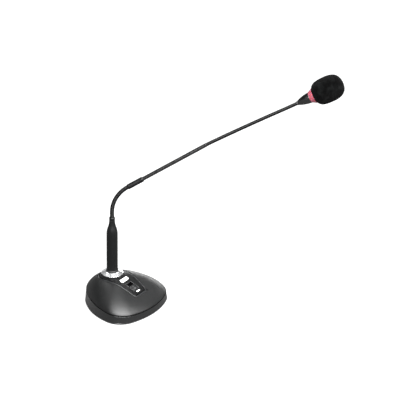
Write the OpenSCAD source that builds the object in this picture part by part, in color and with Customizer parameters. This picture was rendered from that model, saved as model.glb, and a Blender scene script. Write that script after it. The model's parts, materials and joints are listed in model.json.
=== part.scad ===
// Desktop gooseneck microphone: a weighted, domed base with a slide switch, a plug-in barrel, two flexible
// neck lengths joined by a rigid tube, and a capsule head with a light ring and a foam windscreen.
// Millimetres. +Z is up, the origin is where the barrel's axis meets the table, and -Y is the user's side.

/* [Base outline] */
// Front edge of the base, ahead of the barrel's axis
base_front = 83.5; // [80:0.5:88]
// Radius of the two front corners
corner_r = 32.5; // [30:0.5:34]
// Centre of a front corner, ahead of the barrel's axis
corner_ahead = 44; // [42:0.5:46]
// Centre of a front corner, beside the barrel's axis
corner_side = 38; // [36:0.5:40]
// Radius of the rear end
rear_r = 47.5; // [46:0.5:49]
// Centre of the rear arc, ahead of the barrel's axis
rear_ahead = 4.5; // [3:0.5:6]
// Radius of the two long sides
side_r = 115; // [105:1:130]

/* [Base heights] */
// Height of the rim beside the barrel's axis
rim_h = 22.5; // [21:0.5:24]
// Fall of the rim towards the front, per millimetre
rim_fall = 0.095; // [0.08:0.005:0.1]
// Height of the dome's crown
crown_h = 51; // [50:0.2:52]
// Place of the crown, ahead of the barrel's axis
crown_ahead = 8; // [6:0.5:10]
// How much wider the skirt is at its foot
skirt_flare = 1.8; // [1:0.2:2]
// Wall of the plastic shells
wall = 2.4; // [2:0.1:3]
// Height of the ballast weight
ballast_h = 8; // [6:0.5:8]

/* [Control panel] */
// Half width of the panel at its front end
panel_half = 15.4; // [15:0.1:16]
// Front end of the panel, ahead of the barrel's axis
panel_end = 58; // [57:0.5:60]
// Radius of the panel round the socket
panel_ring_r = 22; // [21.5:0.1:22.5]
// Travel of the switch slider
slider_travel = 5.5; // [4.5:0.5:5.5]

/* [Barrel] */
// Diameter of the barrel
barrel_d = 19; // [19:0.1:19.2]
// Height of the top of the barrel's straight part
barrel_top = 125; // [115:1:130]
// Height of the top of the barrel's collar
collar_top = 157; // [155:1:165]

/* [Neck] */
// Direction in which the neck leans, from +X
neck_yaw = -55; // [-90:1:-30]
// Diameter of the lower flexible neck
lower_d = 7.2; // [7:0.1:7.6]
// Straight length before the lower bend
lower_straight = 9.5; // [8:0.5:12]
// Radius of the lower bend
lower_bend_r = 54; // [48:0.5:60]
// Angle of the lower bend
lower_bend = 59; // [40:1:65]
// Diameter of the rigid tube
tube_d = 6.5; // [6.3:0.1:6.8]
// Length of the sleeve
sleeve_len = 30; // [26:1:34]
// Diameter of the sleeve
sleeve_d = 9.2; // [9:0.1:9.6]
// Length of the rigid tube past the sleeve
tube_len = 123.5; // [100:0.5:140]
// Diameter of the upper flexible neck
upper_d = 6.1; // [6:0.1:6.4]
// Length of the upper flexible neck
upper_len = 169; // [150:1:190]
// Droop where the upper neck leaves the tube
upper_first = 3.3; // [0:0.1:5]
// Droop at each further link of the upper neck
upper_each = 0.3; // [0:0.1:0.4]
// Rise of the head above the upper neck's last link
head_lift = 1.2; // [0:0.1:2]

/* [Head] */
// Length of the metal cone
cone_len = 24.3; // [22:0.1:26]
// Diameter of the cone's wide end
cone_d = 18.8; // [18:0.1:19]
// Length of the light ring
ring_len = 7.8; // [6:0.1:8]
// Diameter of the light ring's wide end
ring_d = 26.6; // [26:0.1:27]
// Length of the foam windscreen
foam_len = 53.2; // [52:0.5:58]
// Largest diameter of the foam windscreen
foam_d = 44.6; // [43:0.2:46]

/* [Hidden] */
$fn = 64;
BLACK = "#2b2c2e";
SATIN = "#3a3b3d";
STEEL = "#9a9c9f";
CHROME = "#d8dadc";
IRON = "#55565a";
BOARD = "#2e6b3c";
GOLD = "#c9a24b";
PLATE = "#e8e8e6";
RED = "#e0425a";
FOAM = "#1e1f20";

LOWER_LINKS = 3;
UPPER_LINKS = 7;

// ---- Outline of the base, in (ahead, side) coordinates; ahead is -Y and side is +X ----
ahead_gap = base_front - corner_ahead;
front_r = (ahead_gap * ahead_gap + corner_side * corner_side - corner_r * corner_r)
        / (2 * (ahead_gap - corner_r));
front_centre = base_front - front_r;
// Centre of a side arc: it touches the corner arc and the rear arc from inside
to_corner = side_r - corner_r;
to_rear = side_r - rear_r;
link_len = norm([corner_ahead - rear_ahead, corner_side]);
link_dir = [corner_ahead - rear_ahead, corner_side] / link_len;
along = (to_rear * to_rear - to_corner * to_corner + link_len * link_len) / (2 * link_len);
across = sqrt(to_rear * to_rear - along * along);
side_centre = [rear_ahead + link_dir[0] * along + link_dir[1] * across,
               link_dir[1] * along - link_dir[0] * across];
front_end_a = atan2(corner_side, corner_ahead - front_centre);
corner_end_a = atan2(corner_side - side_centre[1], corner_ahead - side_centre[0]);
side_end_a = atan2(-side_centre[1], rear_ahead - side_centre[0]);

function arc(centre, r, a0, a1, n) =
    [for (i = [0:n - 1]) let (a = a0 + (a1 - a0) * i / n) centre + r * [cos(a), sin(a)]];
function half_outline(off) = concat(
    arc([front_centre, 0], front_r + off, 0, front_end_a, 4),
    arc([corner_ahead, corner_side], corner_r + off, front_end_a, corner_end_a, 9),
    arc(side_centre, side_r + off, corner_end_a, side_end_a, 6),
    arc([rear_ahead, 0], rear_r + off, side_end_a, 180, 6),
    [[rear_ahead - rear_r - off, 0]]);
function outline(off) = let (h = half_outline(off), n = len(h))
    concat(h, [for (i = [n - 2:-1:1]) [h[i][0], -h[i][1]]]);
function to_xy(p) = [p[1], -p[0]];
module base_shape(off) { polygon([for (p = outline(off)) to_xy(p)]); }

// ---- Dome over that outline ----
front_power = 1;
rear_power = 3.1;
crown_power = 1.3;
crown = [crown_ahead, 0];
function rim_z(ahead) = rim_h - rim_fall * ahead;
function dome_power(p) = let (v = p - crown, w = pow((1 + v[0] / norm(v)) / 2, 2))
    rear_power + (front_power - rear_power) * w;
// Point of the dome at a fraction of the way from the crown to outline point p
function dome_point(p, part) = let (q = crown + (p - crown) * part, rim = rim_z(q[0]))
    [q[1], -q[0], rim + (crown_h - rim) * pow(1 - pow(part, dome_power(p)), 1 / crown_power)];
function panel_z(ahead) =
    dome_point([base_front, 0], (ahead - crown_ahead) / (base_front - crown_ahead))[2];

DOME_PARTS = [1, 0.985, 0.955, 0.91, 0.84, 0.75, 0.64, 0.52, 0.39, 0.25, 0.1];
// Closed solid between stacked rings of equal length; the last ring closes to one point
module loft(rings, top) {
    n = len(rings[0]);
    m = len(rings);
    points = concat([for (r = rings) each r], [top]);
    sides = [for (j = [0:m - 2], i = [0:n - 1]) let (a = j * n + i, b = j * n + (i + 1) % n)
        each [[a, a + n, b + n], [a, b + n, b]]];
    cap = [for (i = [0:n - 1]) [(m - 1) * n + i, m * n, (m - 1) * n + (i + 1) % n]];
    polyhedron(points, concat([[for (i = [0:n - 1]) i]], sides, cap), convexity = 6);
}
// The solid under the dome: off grows the outline, lift raises the surface, foot is its lower face
module dome_solid(off, lift, foot) {
    plan = outline(off);
    bottom = [for (p = plan) [p[1], -p[0], rim_z(p[0]) + foot]];
    rings = [for (k = DOME_PARTS) [for (p = plan) dome_point(p, k) + [0, 0, lift]]];
    loft(concat([bottom], rings), [0, -crown_ahead, crown_h + lift]);
}
// The solid of the skirt between a flat foot and a sloping top, both with their own outline
module skirt_solid(foot_off, foot_z, top_off, top_drop) {
    low = [for (p = outline(foot_off)) [p[1], -p[0], foot_z]];
    high = [for (p = outline(top_off)) [p[1], -p[0], rim_z(p[0]) - top_drop]];
    loft([low, high], [0, 0, rim_z(0) - top_drop]);
}

// ---- Heights and places in the base ----
foot_h = 0.6;
plate_t = 2;
plate_top = foot_h + plate_t;
seam = 1.6;          // depth of the cover's edge below the rim
seam_gap = 0.6;
post_r = 3.6;
POSTS = [[36, 50], [36, -50], [-24, 27], [-24, -27]];       // ahead, side
FEET = [[60, 40], [60, -40], [-30, 15], [-30, -15], [0, 0]];
module at(spots) { for (p = spots) translate([p[1], -p[0], 0]) children(); }

// ---- Panel frame: local x is side, local -y points down the slope, local z is the panel's normal ----
pocket_rear = 32;
pocket_front = 50.8;
pocket_mid = (pocket_rear + pocket_front) / 2;
panel_tilt = atan((panel_z(pocket_rear) - panel_z(pocket_front)) / (pocket_front - pocket_rear));
pocket_len = (pocket_front - pocket_rear) / cos(panel_tilt);
pocket_w = 16.6;
panel_lift = 0.6;
panel_t = 1.4;
// The four posts that carry the switch board, at height z below the panel
module at_posts(z) { for (x = [-1, 1], y = [-1, 1]) translate([x * 10.8, y * 8.4, z]) children(); }
module on_panel(ahead = pocket_mid) {
    translate([0, -ahead, panel_z(ahead) + panel_lift]) rotate([panel_tilt, 0, 0]) children();
}
module panel_shape(inset) {
    hull() {
        circle(r = panel_ring_r - inset, $fn = 64);
        for (x = [-1, 1]) {
            translate([x * (panel_ring_r - 5), -15]) circle(r = 5 - inset, $fn = 32);
            translate([x * (panel_half - 3), -panel_end + 3]) circle(r = 3 - inset, $fn = 32);
        }
    }
}
module rounded_block(w, l, h, r) {
    linear_extrude(h) hull() for (x = [-1, 1], y = [-1, 1])
        translate([x * (w / 2 - r), y * (l / 2 - r)]) circle(r = r, $fn = 24);
}
module stadium(w, l, h) {
    linear_extrude(h) hull() for (x = [-1, 1]) translate([x * (w - l) / 2, 0]) circle(d = l, $fn = 24);
}

// ---- Socket and plug ----
housing_r = 17.6;
ring_r = 18.4;
ring_low = 52.6;
ring_edge = 54;
ring_top = 56.7;
shell_r = 9.3;          // plug shell, outside
shell_bore = 8.1;       // plug shell, inside
socket_r = 9.5;
insert_r = 7.8;
socket_floor = 36;
plug_low = 39;
pin_circle = 4.1;
pin_r = 1.2;
PIN_ANGLES = [30, 150, 270];
module around_pins() { for (a = PIN_ANGLES) rotate(a) translate([pin_circle, 0, 0]) children(); }

module top_cover() {
    color(SATIN) difference() {
        union() {
            difference() {
                dome_solid(0, 0, -seam);
                dome_solid(-wall, -wall, -seam - 10);
            }
            intersection() {
                at(POSTS) translate([0, 0, plate_top + 0.1]) cylinder(r = post_r, h = 60);
                dome_solid(-wall / 2, -wall / 2, -seam - 30);
            }
        }
        linear_extrude(100) panel_shape(1.6);
        difference() {
            linear_extrude(100) panel_shape(-0.4);
            dome_solid(5, -1, -60);
        }
        at(POSTS) cylinder(r = 1.3, h = 14);
    }
}
module control_panel() {
    lens_l = 2.1;
    color(BLACK) difference() {
        union() {
            difference() {
                intersection() {
                    linear_extrude(100) panel_shape(0);
                    dome_solid(5, panel_lift, -60);
                }
                dome_solid(5, panel_lift - panel_t, -61);
            }
            intersection() {
                on_panel() at_posts(-10.9) cylinder(r = 1.9, h = 14);
                dome_solid(5, panel_lift - panel_t / 2, -61);
            }
        }
        translate([0, 0, 30]) cylinder(r = housing_r + 0.2, h = 40);
        on_panel() translate([0, 0, -4]) linear_extrude(8) square([pocket_w, pocket_len], center = true);
        on_panel(lens_ahead) translate([0, 0, -4]) stadium(lens_w + 0.2, lens_len + 0.2, 8);
        on_panel() at_posts(-11) cylinder(r = 0.8, h = 6);
        on_plate() translate([0, 0, -0.5]) linear_extrude(4) square([20.4, 6.9], center = true);
    }
}
plate_mid = 24.2;
plate_tilt = atan((panel_z(plate_mid - 3) - panel_z(plate_mid + 3)) / 6);
module on_plate() {
    translate([0, -plate_mid, panel_z(plate_mid) + panel_lift]) rotate([plate_tilt, 0, 0]) children();
}
module nameplate() {
    color(PLATE) on_plate() translate([0, 0, -0.5]) linear_extrude(0.9) difference() {
        square([20, 6.5], center = true);
        for (x = [-1, 1]) translate([x * 8.6, 0]) circle(r = 0.5, $fn = 24);
    }
}

// ---- Switch ----
frame_floor = -2.1;
slot_w = 2.6;
slider_len = 11;
slider_rest = -(pocket_len - 2.4 - slider_len) / 2 + 0.15;
stem_y = 1.6;
module switch_frame() {
    frame_w = pocket_w - 0.2;
    frame_len = pocket_len - 0.2;
    color(BLACK) on_panel() difference() {
        translate([0, 0, frame_floor - 1]) rounded_block(frame_w, frame_len, 3.1, 1.2);
        translate([0, 0, frame_floor]) rounded_block(frame_w - 2, frame_len - 2, 4, 0.8);
        translate([-slot_w / 2, slider_rest + stem_y - 1.9, frame_floor - 2])
            cube([slot_w, slider_travel + 3.8, 3]);
    }
}
module switch_slider() {
    color(SATIN) on_panel() translate([0, slider_rest, 0]) {
        difference() {
            translate([0, 0, frame_floor + 0.15]) rounded_block(13.6, slider_len, 2.2, 1);
            translate([0, 0, 15.35]) rotate([0, 90, 0]) cylinder(r = 16, h = 30, center = true);
        }
        for (y = [-2.2, 1.2]) translate([0, y, -1.2]) cylinder(r = 0.7, h = 0.95);
        translate([-1.1, stem_y - 1.6, -6.6]) cube([2.2, 3.2, 6.6 + frame_floor + 0.2]);
    }
}
lens_ahead = 53.2;
lens_w = 9;
lens_len = 1.9;
module indicator_lens() {
    color(PLATE) on_panel(lens_ahead) {
        translate([0, 0, -3]) stadium(lens_w, lens_len, 3.5);
        translate([0, 0, -9.8]) cylinder(r = 0.9, h = 6.8);
    }
}
board_top = -11;
module switch_board() {
    color(BOARD) on_panel() difference() {
        translate([0, -1.5, board_top - 1.6]) rounded_block(26.5, 27, 1.6, 2);
        at_posts(board_top - 3) cylinder(r = 1.15, h = 6);
    }
    color(PLATE) on_panel() translate([-1, -13.6, board_top]) cube([2, 1.6, 0.7]);
}
module switch_body() {
    color(STEEL) on_panel() translate([0, slider_rest + stem_y + slider_travel / 2, 0]) difference() {
        translate([-4, -7, board_top]) cube([8, 14, -board_top - 4.4]);
        translate([-1.5, -slider_travel / 2 - 2.1, -7.2]) cube([3, slider_travel + 4.2, 4]);
    }
}
module board_screws() {
    color(STEEL) on_panel() at_posts(board_top - 1.6) {
        translate([0, 0, -1.2]) cylinder(r = 1.7, h = 1.2);
        cylinder(r = 0.75, h = 5.5);
    }
}

// ---- Socket in the base ----
module trim_ring() {
    color(CHROME) rotate_extrude($fn = 96) polygon([
        [socket_r + 0.3, ring_low], [ring_r - 0.5, ring_low], [ring_r, ring_low + 0.5],
        [ring_r, ring_edge - 0.4], [ring_r - 0.4, ring_edge],
        [11.4, ring_top], [socket_r + 0.3, ring_top]]);
}
module socket_housing() {
    color(BLACK) difference() {
        union() {
            translate([0, 0, 46]) cylinder(r = housing_r, h = ring_low - 46);
            translate([0, 0, socket_floor - 3]) cylinder(r = 12.5, h = 14);
        }
        translate([0, 0, socket_floor]) cylinder(r = socket_r, h = 30);
        translate([0, 0, socket_floor - 4]) around_pins() cylinder(r = 1.9, h = 10);
    }
}
module socket_insert() {
    color(BLACK) translate([0, 0, socket_floor]) difference() {
        cylinder(r = insert_r, h = 13);
        around_pins() translate([0, 0, -1]) cylinder(r = 1.8, h = 20);
    }
}
module socket_contacts() {
    color(GOLD) translate([0, 0, socket_floor - 2.5]) around_pins() difference() {
        cylinder(r = 1.75, h = 15);
        translate([0, 0, 2]) cylinder(r = pin_r + 0.08, h = 20);
    }
}

// ---- Lower part of the base ----
output_z = 14;
output_mouth = 45.2;
output_in = 26;
module lower_housing() {
    color(SATIN) difference() {
        skirt_solid(skirt_flare, plate_top, 0.1, seam + seam_gap);
        skirt_solid(skirt_flare - wall, plate_top - 1, 0.1 - wall, seam + seam_gap - 1);
        translate([0, output_in, output_z]) rotate([-90, 0, 0]) cylinder(r = 9.7, h = 30);
    }
}
module ballast_weight() {
    color(IRON) difference() {
        translate([0, 0, plate_top]) linear_extrude(ballast_h) intersection() {
            base_shape(-7);
            translate([-60, -100]) square([120, 118]);
        }
        at(POSTS) cylinder(r = post_r + 1, h = 40);
        at(BALLAST_SCREWS) cylinder(r = 1.7, h = 40);
    }
}
BALLAST_SCREWS = [[62, 0], [8, 40], [8, -40]];
module ballast_screws() {
    color(STEEL) at(BALLAST_SCREWS) {
        translate([0, 0, plate_top + ballast_h]) cylinder(r = 3, h = 2);
        translate([0, 0, foot_h + 0.4]) cylinder(r = 1.5, h = ballast_h + plate_t);
    }
}
module bottom_plate() {
    color(IRON) difference() {
        translate([0, 0, foot_h]) linear_extrude(plate_t) base_shape(0.8);
        at(POSTS) {
            cylinder(r = 1.7, h = 10);
            translate([0, 0, foot_h - 1]) cylinder(r = 3.2, h = 2.1);
        }
        at(BALLAST_SCREWS) cylinder(r = 1.6, h = 10);
        at(FEET) translate([0, 0, foot_h - 1]) cylinder(r = 7.1, h = 1.8);
    }
}
module bottom_screws() {
    color(STEEL) at(POSTS) difference() {
        union() {
            translate([0, 0, foot_h + 0.1]) cylinder(r = 2.9, h = 1);
            translate([0, 0, foot_h + 1.1]) cylinder(r = 1.25, h = 9);
        }
        for (a = [0, 90]) rotate(a) translate([-1.6, -0.3, 0]) cube([3.2, 0.6, foot_h + 0.6]);
    }
}
module rubber_feet() { color("#18181a") at(FEET) cylinder(r = 6.8, h = foot_h + 0.8); }

// ---- Output connector in the rear wall ----
module to_rear(y) { translate([0, y, output_z]) rotate([-90, 0, 0]) children(); }
module output_shell() {
    color(BLACK) difference() {
        union() {
            to_rear(output_in) cylinder(r = 9.5, h = output_mouth - output_in);
            to_rear(output_in) cylinder(r = 10.4, h = 3);
        }
        to_rear(output_in + 4) cylinder(r = shell_bore, h = 30);
        to_rear(output_in - 1) around_pins() cylinder(r = 1.6, h = 8);
    }
}
module output_insert() {
    color("#3c3d40") to_rear(output_in + 4) difference() {
        cylinder(r = shell_bore, h = 2);
        around_pins() translate([0, 0, -1]) cylinder(r = 1.5, h = 5);
    }
}
module output_pins() {
    color(GOLD) to_rear(output_in - 2) around_pins() {
        cylinder(r = 1.5, h = 8);
        cylinder(r = pin_r, h = 18.4);
        translate([0, 0, 18.4]) sphere(r = pin_r, $fn = 24);
    }
}

// ---- Barrel ----
foot_low = ring_top + 0.1;
foot_top = 59.9;
barrel_r = barrel_d / 2;
collar_r = 4.9;
collar_low = collar_top - 5.5;
// Radius of the shoulder's two arcs: they leave the barrel upright and meet the collar upright
shoulder_h = collar_low - barrel_top;
shoulder_w = barrel_r - collar_r;
shoulder_r = (shoulder_h * shoulder_h + shoulder_w * shoulder_w) / (4 * shoulder_w);
shoulder_a = asin(shoulder_h / 2 / shoulder_r);
STEPS = 8;
function shoulder() = concat(
    [for (i = [0:STEPS]) let (a = shoulder_a * i / STEPS)
        [barrel_r - shoulder_r * (1 - cos(a)), barrel_top + shoulder_r * sin(a)]],
    [for (i = [STEPS - 1:-1:0]) let (a = shoulder_a * i / STEPS)
        [collar_r + shoulder_r * (1 - cos(a)), collar_low - shoulder_r * sin(a)]]);
module barrel() {
    color(SATIN) rotate_extrude($fn = 96) polygon(concat(
        [[barrel_r - 1.5, foot_top], [barrel_r - 0.3, foot_top], [barrel_r, foot_top + 0.3]],
        shoulder(),
        [[2.2, collar_low], [2.2, collar_low - 4], [barrel_r - 1.5, barrel_top - 4]]));
}
module barrel_foot() {
    color(BLACK) rotate_extrude($fn = 96) polygon([
        [shell_bore, plug_low], [shell_r, plug_low], [shell_r, foot_low], [9.9, foot_low],
        [10.2, foot_low + 0.3], [10.2, foot_top - 0.3], [9.9, foot_top], [shell_bore, foot_top]]);
}
module barrel_collar() {
    color(SATIN) rotate_extrude($fn = 64) polygon([
        [2.2, collar_low], [collar_r, collar_low], [collar_r, collar_top - 0.8],
        [collar_r - 0.8, collar_top], [2.2, collar_top]]);
}
module plug_insert() {
    color("#3c3d40") translate([0, 0, 52.6]) difference() {
        cylinder(r = shell_bore, h = 7);
        around_pins() translate([0, 0, -1]) cylinder(r = 1.5, h = 12);
    }
}
module plug_pins() {
    color(GOLD) around_pins() {
        translate([0, 0, 52.8]) cylinder(r = 1.5, h = 9);
        translate([0, 0, 41.6]) cylinder(r = pin_r, h = 12);
        translate([0, 0, 41.6]) sphere(r = pin_r, $fn = 24);
    }
}

// ---- Neck, drawn in its own upright plane: h runs along the lean, z is up ----
LOWER_JOINTS = LOWER_LINKS + 1;
lower_turn = lower_bend / LOWER_JOINTS;
lower_step = 2 * lower_bend_r * tan(lower_turn / 2);
UPPER_JOINTS = UPPER_LINKS + 1;
upper_step = upper_len / UPPER_JOINTS;
tube_up = 90 - lower_bend;
function toward(rise) = [cos(rise), sin(rise)];
// Joint i of the lower neck, from 0; the neck rises at lower_rise(i) before it
function lower_rise(i) = 90 - i * lower_turn;
function lower_joint(i) = i == 0
    ? [0, collar_top + lower_straight + lower_step / 2]
    : lower_joint(i - 1) + lower_step * toward(lower_rise(i));
sleeve_start = lower_joint(LOWER_JOINTS - 1) + lower_step / 2 * toward(tube_up);
tube_end = sleeve_start + (sleeve_len + tube_len) * toward(tube_up);
upper_inset = 4;
function upper_rise(i) = i == 0 ? tube_up
    : tube_up - upper_first - (i - 1) * upper_each + (i == UPPER_JOINTS ? head_lift + upper_each : 0);
function upper_joint(i) = i == 0
    ? tube_end + upper_inset * toward(tube_up)
    : upper_joint(i - 1) + upper_step * toward(upper_rise(i));
head_rise = upper_rise(UPPER_JOINTS);
upper_last = upper_joint(UPPER_JOINTS - 1);
head_start = upper_last + (upper_step - upper_inset) * toward(head_rise);

// Places children with their z axis along the neck
module along_neck(p, rise) {
    rotate(neck_yaw) translate([p[0], 0, p[1]]) rotate([0, 90 - rise, 0]) children();
}
// A length of wound neck with rounded turns, from z0 to z1
turn_pitch = 1.55;
function turns(r, z0, z1) = let (n = max(1, round((z1 - z0) / turn_pitch)), p = (z1 - z0) / n)
    [for (i = [0:n - 1]) each [[r - 0.3, z0 + i * p], [r, z0 + (i + 0.3) * p],
                               [r, z0 + (i + 0.7) * p], [r - 0.3, z0 + (i + 1) * p]]];
module wound(r, z0, z1) {
    rotate_extrude($fn = 48) polygon(concat([[0, z0]], turns(r, z0, z1), [[0, z1]]));
}
ball_gap = 0.12;
mouth = 0.3;         // how far a socket reaches past its joint
shy = 1.75;          // where the next link's turns start past the joint
wire_r = 0.8;
function ball_r(d) = d / 2 - 1.35;
// A neck link from the joint at its foot to the joint at its head
module neck_link(d, length, ball = true, socket = true) {
    difference() {
        union() {
            wound(d / 2, ball ? shy : 0, socket ? length + mouth : length);
            if (ball) {
                sphere(r = ball_r(d), $fn = 32);
                cylinder(r = ball_r(d) * 0.75, h = shy + 0.2, $fn = 32);
            }
        }
        if (socket) translate([0, 0, length]) sphere(r = ball_r(d) + ball_gap, $fn = 32);
        translate([0, 0, -5]) cylinder(r = wire_r, h = length + 20, $fn = 24);
    }
}
module lower_neck_root() {
    color(BLACK) along_neck([0, collar_top + 0.1], 90)
        neck_link(lower_d, lower_straight + lower_step / 2 - 0.1, ball = false);
}
module lower_link(i) {
    color(BLACK) along_neck(lower_joint(i - 1), lower_rise(i)) neck_link(lower_d, lower_step);
}
module lower_neck_end() {
    color(BLACK) along_neck(lower_joint(LOWER_JOINTS - 1), tube_up)
        neck_link(lower_d, lower_step / 2, socket = false);
}
module neck_sleeve() {
    r = sleeve_d / 2;
    color(BLACK) along_neck(sleeve_start, tube_up) rotate_extrude($fn = 64) polygon(concat(
        [[wire_r, 0], [lower_d / 2, 0], [r, 1.2]],
        [for (i = [0:9]) each [[r, 3 + i * 2.3], [r - 0.25, 3.4 + i * 2.3],
                               [r - 0.25, 4 + i * 2.3], [r, 4.4 + i * 2.3]]],
        [[r, sleeve_len - 2], [r - 0.9, sleeve_len], [wire_r, sleeve_len]]));
}
module neck_tube() {
    color(SATIN) along_neck(sleeve_start, tube_up) translate([0, 0, sleeve_len]) rotate_extrude($fn = 64)
        polygon([[wire_r + 0.6, 0], [tube_d / 2, 0], [tube_d / 2, tube_len - 0.6],
                 [tube_d / 2 - 0.5, tube_len], [wire_r + 0.6, tube_len]]);
}
module upper_neck_root() {
    color(BLACK) along_neck(tube_end, tube_up) neck_link(upper_d, upper_inset, ball = false);
}
module upper_link(i) {
    color(BLACK) along_neck(upper_joint(i - 1), upper_rise(i)) neck_link(upper_d, upper_step);
}
module upper_neck_end() {
    color(BLACK) along_neck(upper_last, head_rise)
        neck_link(upper_d, upper_step - upper_inset, socket = false);
}

// ---- Head, drawn along its own axis from the cone's narrow end ----
module on_head() { along_neck(head_start, head_rise) children(); }
cone_small = 3.8;
cone_sag_r = 62;
// The cone's side bulges outwards: an arc through its two ends
cone_chord = norm([cone_d / 2 - cone_small, cone_len - 2]);
cone_mid = [(cone_d / 2 + cone_small) / 2, cone_len / 2 + 1];
cone_out = [cone_len - 2, cone_small - cone_d / 2] / cone_chord;
cone_centre = cone_mid - cone_out * sqrt(cone_sag_r * cone_sag_r - cone_chord * cone_chord / 4);
cone_a0 = atan2(2 - cone_centre[1], cone_small - cone_centre[0]);
cone_a1 = atan2(cone_len - cone_centre[1], cone_d / 2 - cone_centre[0]);
module head_cone() {
    color(SATIN) on_head() rotate_extrude($fn = 96) polygon(concat(
        [[wire_r, 0.1], [cone_small, 0.1], [cone_small, 1.4],
         [cone_small - 0.4, 1.6], [cone_small - 0.4, 2]],
        [for (i = [0:10]) let (a = cone_a0 + (cone_a1 - cone_a0) * i / 10)
            cone_centre + cone_sag_r * [cos(a), sin(a)]],
        [[6.6, cone_len], [6.6, cone_len - 8], [wire_r, cone_len - 14]]));
}
module light_ring() {
    color(RED) on_head() translate([0, 0, cone_len]) rotate_extrude($fn = 96) polygon([
        [8.3, 0], [cone_d / 2, 0], [ring_d / 2, ring_len], [8.3, ring_len]]);
}
module light_board() {
    color(BOARD) on_head() translate([0, 0, cone_len - 1.2]) difference() {
        cylinder(r = 6.5, h = 1.1);
        translate([0, 0, -1]) cylinder(r = 2, h = 4);
    }
    color(RED) on_head() translate([0, 0, cone_len - 0.1])
        for (a = [0:60:300]) rotate(a) translate([4.4, -0.8, 0]) cube([1.6, 1.6, 0.7]);
}
holder_r = 8.2;
module capsule_holder() {
    color(SATIN) on_head() translate([0, 0, cone_len + 0.1]) difference() {
        cylinder(r = holder_r, h = 16);
        translate([0, 0, -1]) cylinder(r = 7, h = 20);
    }
}
module capsule() {
    color(STEEL) on_head() translate([0, 0, cone_len + 14]) {
        cylinder(r = 6.9, h = 5);
        translate([0, 0, 5]) cylinder(r = 5.6, h = 0.6);
    }
}
module capsule_grille() {
    color(STEEL) on_head() translate([0, 0, cone_len + 16.1]) rotate_extrude($fn = 64) polygon(concat(
        [[7.2, 0], [holder_r, 0], [holder_r, 12]],
        [for (i = [1:6]) [holder_r - 5 + 5 * cos(i * 15), 12 + 5 * sin(i * 15)]],
        [[0, 17], [0, 16], [3.2, 16]],
        [for (i = [6:-1:0]) [holder_r - 5 + 4 * cos(i * 15), 12 + 4 * sin(i * 15)]]));
}
// Half-outline of the foam: a blunt rear, its widest halfway along, and a round nose
foam_low = cone_len + ring_len;
foam_wide = 27;
foam_back = 1.6;     // how far behind its cut rear face the foam's outline would close
rear_round = 3.2;
nose_round = 2.5;
function foam_radius(z) = let (
    power = z < foam_wide ? rear_round : nose_round,
    reach = z < foam_wide ? foam_wide + foam_back : foam_len - foam_wide)
    foam_d / 2 * pow(max(0, 1 - pow(abs(z - foam_wide) / reach, power)), 1 / power);
module windscreen() {
    depth = 28;
    color(FOAM) on_head() translate([0, 0, foam_low + 0.1]) rotate_extrude($fn = 96) polygon(concat(
        [[holder_r + 0.3, 0]],
        [for (i = [0:12]) let (z = foam_wide * pow(i / 12, 1.6)) [foam_radius(z), z]],
        [for (i = [11:-1:1]) let (z = foam_len - (foam_len - foam_wide) * pow(i / 12, 2))
            [foam_radius(z), z]],
        [[0, foam_len], [0, depth], [3.5, depth], [holder_r + 0.3, depth - 5]]));
}

top_cover();
control_panel();
nameplate();
switch_frame();
switch_slider();
indicator_lens();
switch_board();
switch_body();
board_screws();
trim_ring();
socket_housing();
socket_insert();
socket_contacts();
lower_housing();
ballast_weight();
ballast_screws();
bottom_plate();
bottom_screws();
rubber_feet();
output_shell();
output_insert();
output_pins();
barrel();
barrel_foot();
barrel_collar();
plug_insert();
plug_pins();
lower_neck_root();
for (i = [1:LOWER_LINKS]) lower_link(i);
lower_neck_end();
neck_sleeve();
neck_tube();
upper_neck_root();
for (i = [1:UPPER_LINKS]) upper_link(i);
upper_neck_end();
head_cone();
light_ring();
light_board();
capsule_holder();
capsule();
capsule_grille();
windscreen();
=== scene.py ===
import json
import math

import bmesh
import bpy
import numpy as np
from mathutils import Matrix, Vector


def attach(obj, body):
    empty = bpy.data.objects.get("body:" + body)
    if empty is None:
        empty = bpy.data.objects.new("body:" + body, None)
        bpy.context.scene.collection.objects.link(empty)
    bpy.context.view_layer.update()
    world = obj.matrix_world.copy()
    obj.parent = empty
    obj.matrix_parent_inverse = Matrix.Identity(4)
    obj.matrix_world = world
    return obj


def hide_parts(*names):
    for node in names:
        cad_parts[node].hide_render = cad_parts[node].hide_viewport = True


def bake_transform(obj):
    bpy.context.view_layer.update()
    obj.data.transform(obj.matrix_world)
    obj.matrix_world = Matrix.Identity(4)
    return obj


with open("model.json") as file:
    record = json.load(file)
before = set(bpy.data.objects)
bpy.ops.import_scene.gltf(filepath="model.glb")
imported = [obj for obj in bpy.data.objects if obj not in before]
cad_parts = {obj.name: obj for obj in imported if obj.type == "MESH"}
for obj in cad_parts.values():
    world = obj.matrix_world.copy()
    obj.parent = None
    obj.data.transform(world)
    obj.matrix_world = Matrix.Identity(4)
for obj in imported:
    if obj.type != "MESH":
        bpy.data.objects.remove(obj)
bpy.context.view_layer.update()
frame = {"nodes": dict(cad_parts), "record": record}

MM = 0.001
PI = math.pi

# ------------------------------------------------------------------ materials
# Colours are linear. Sizes passed to noise() and bump() are in millimetres.

SOCKETS = {"color": "Base Color", "roughness": "Roughness", "normal": "Normal", "metallic": "Metallic",
           "coat": "Coat Weight", "coat_roughness": "Coat Roughness", "sheen": "Sheen Weight",
           "sheen_roughness": "Sheen Roughness", "specular": "Specular IOR Level", "ior": "IOR",
           "transmission": "Transmission Weight", "subsurface": "Subsurface Weight",
           "subsurface_scale": "Subsurface Scale", "emission": "Emission Color",
           "glow": "Emission Strength"}
METAL_LINES, FOAM_CELLS, BOARD_TRACKS = 900, 1250.0, 420.0  # texture scales, per metre
FLOOR_GLOW = 0.97


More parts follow.
